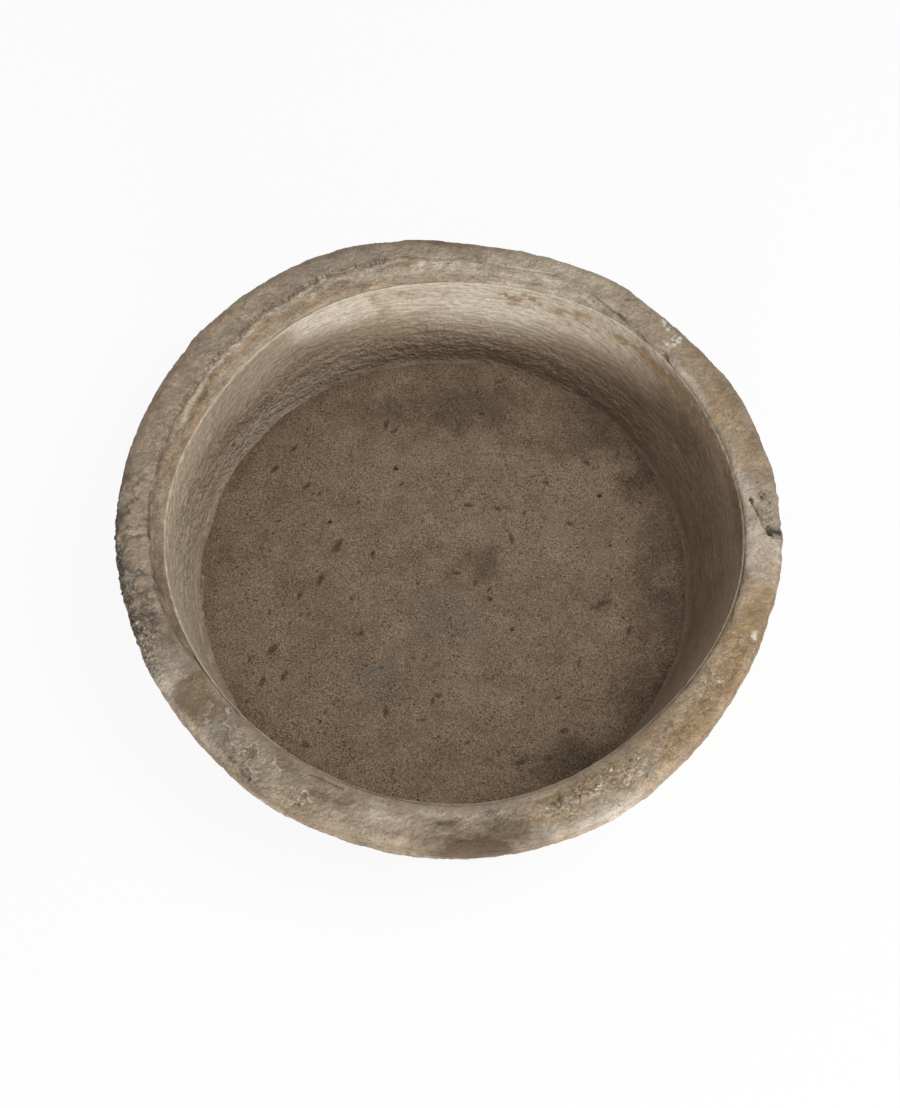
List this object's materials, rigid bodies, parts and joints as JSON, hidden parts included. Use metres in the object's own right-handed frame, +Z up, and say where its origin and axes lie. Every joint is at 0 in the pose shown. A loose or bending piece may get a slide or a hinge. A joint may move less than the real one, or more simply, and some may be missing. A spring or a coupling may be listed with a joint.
{
  "type": "round stone planter",
  "caption": "Round, shallow, open-topped stone planter with a tapered wall, a flat hand-finished rim, a smooth inner coat with a bead at its top and a sandy floor.",
  "frame": {"origin": "centre of the flat underside, on the surface that the planter stands on", "axes": "+Z up through the open top, +X towards the side where the rim is narrowest, +Y towards the back in the picture"},
  "size_m": [0.6058, 0.6118, 0.166],
  "materials": {
    "base_stone": "rough cast stone, weathered brown",
    "wall_stone": "rough cast stone, streaked grey brown",
    "rim_skin": "hand smoothed lime mortar, worn and stained",
    "lining_coat": "troweled lime mortar with fine level strokes",
    "sandy_bed": "sandy screed, coarse grain, pitted"
  },
  "bodies": {
    "root": {"base_slab": "base_stone", "wall_shell": "wall_stone", "rim_cap": "rim_skin", "wall_lining": "lining_coat", "floor_bed": "sandy_bed"}
  },
  "joints": []
}
